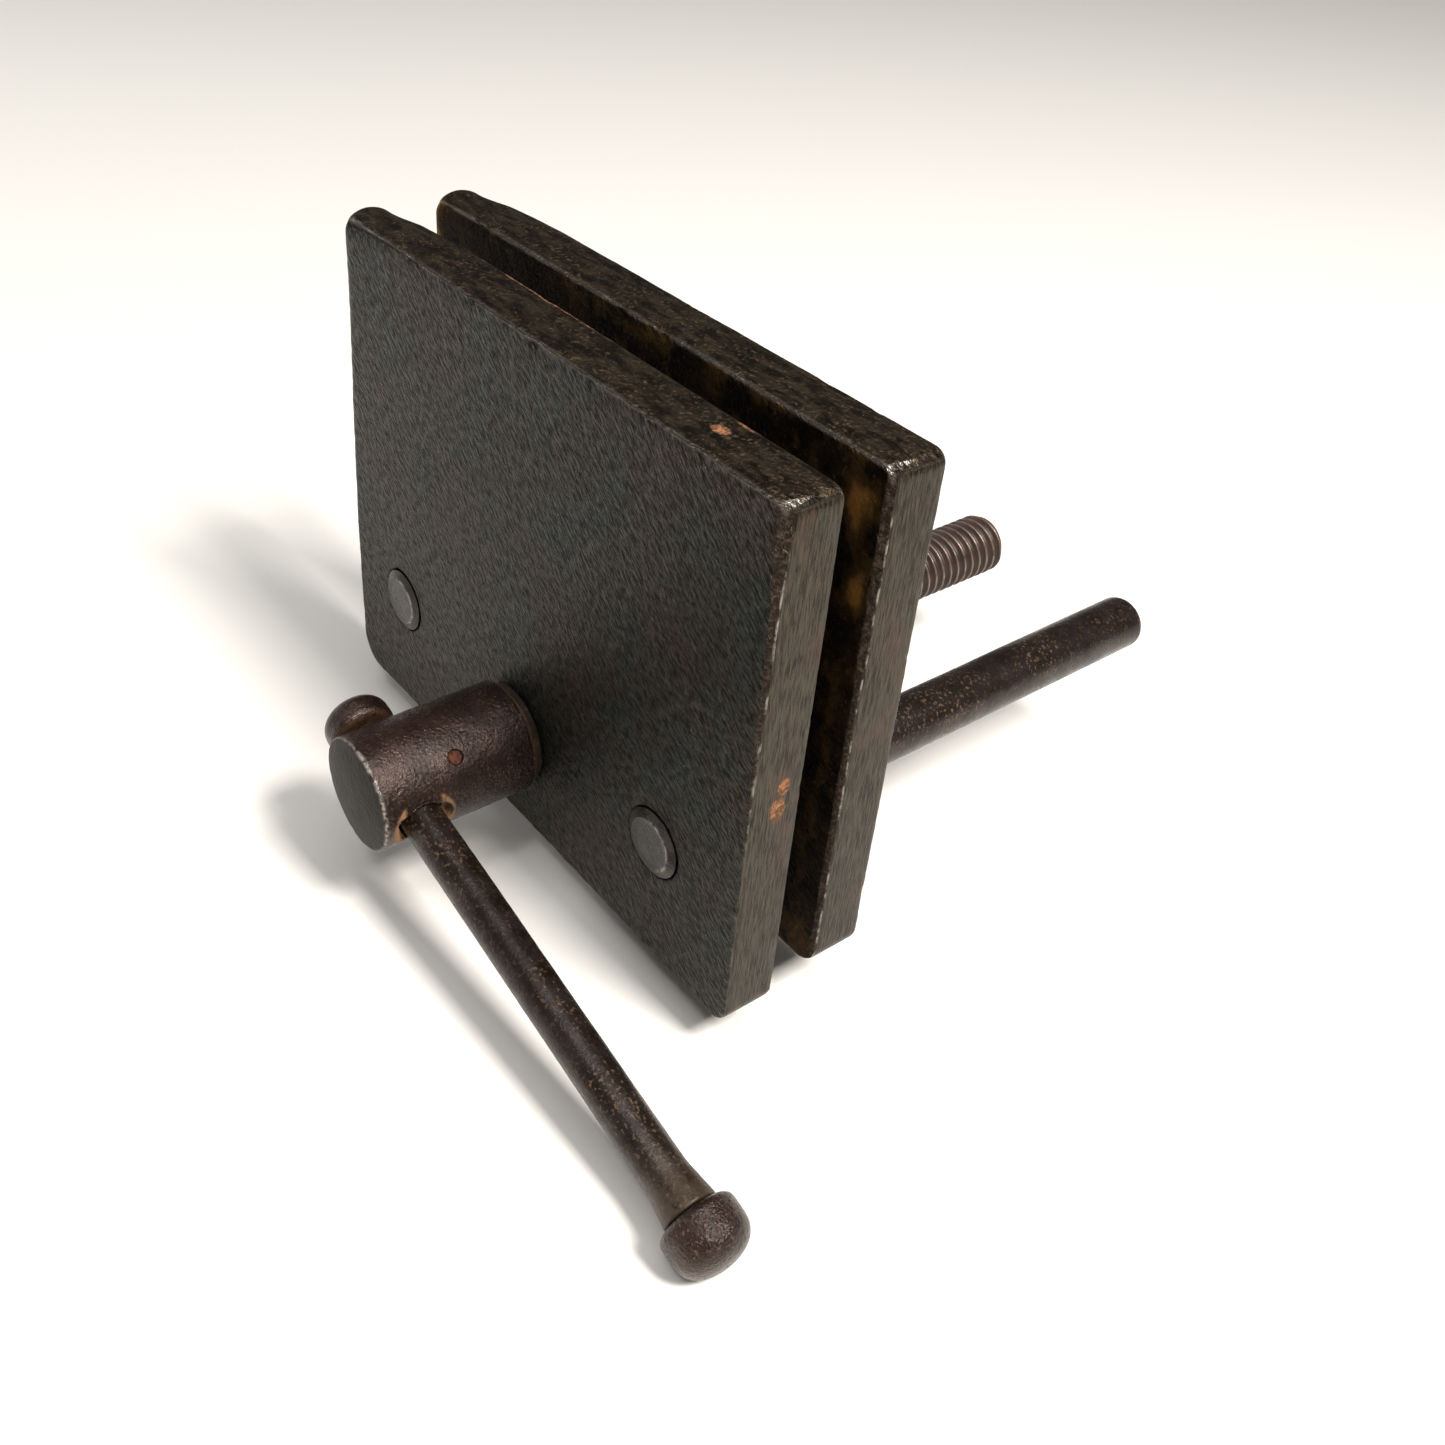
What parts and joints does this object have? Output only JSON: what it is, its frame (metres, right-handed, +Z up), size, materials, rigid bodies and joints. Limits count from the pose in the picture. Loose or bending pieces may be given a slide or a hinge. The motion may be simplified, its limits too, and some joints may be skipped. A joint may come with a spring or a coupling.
{
  "type": "bench vise",
  "caption": "Plate-jaw bench vise: two steel jaw plates on guide rods, closed by a lead screw with a sliding tommy bar.",
  "frame": {"origin": "centre of the jaw width and of the front jaw's height, on the rear jaw's bench face", "axes": "+X along the jaws, +Y out of the bench face into the bench, +Z up; the handle side faces -Y"},
  "size_m": [0.1896, 0.1915, 0.1292],
  "materials": {
    "jaw_plate": "dark oxidised steel plate, satin, with bright worn edges and rust specks",
    "rod": "dark brown oxidised round bar with ochre rust specks",
    "thread": "reddish brown thread with bright worn crests",
    "forged_head": "glossy dark brown forged steel, finely pitted",
    "pin": "rusty steel pin"
  },
  "bodies": {
    "rear_jaw": {"rear_jaw": "jaw_plate"},
    "front_jaw": {"front_jaw": "jaw_plate", "guide_rod_left": "rod", "guide_rod_right": "rod"},
    "screw": {"lead_screw": "thread", "screw_head": "forged_head", "head_pin": "pin", "thrust_washer": "rod", "keeper_collar": "rod", "collar_pin": "pin"},
    "bar": {"tommy_bar": "rod", "bar_knob_upper": "forged_head", "bar_knob_lower": "forged_head"}
  },
  "joints": [
    {"name": "jaw_slide", "type": "slide", "parent": "rear_jaw", "child": "front_jaw", "axis": [0, -1, 0], "range_m": [-0.0094, 0.105]},
    {"name": "screw_turn", "type": "hinge", "parent": "front_jaw", "child": "screw", "pos_m": [-0.0015, -0.0356, -0.036], "axis": [0, -1, 0], "range_deg": [-1252.8, 13999.5]},
    {"name": "bar_slide", "type": "slide", "parent": "screw", "child": "bar", "axis": [-0.9748, 0, 0.2233], "range_m": [0, 0.0885]}
  ],
  "couplings": [
    {"joint": "jaw_slide", "follows": "screw_turn", "m_per_rad": 0.00042972}
  ]
}
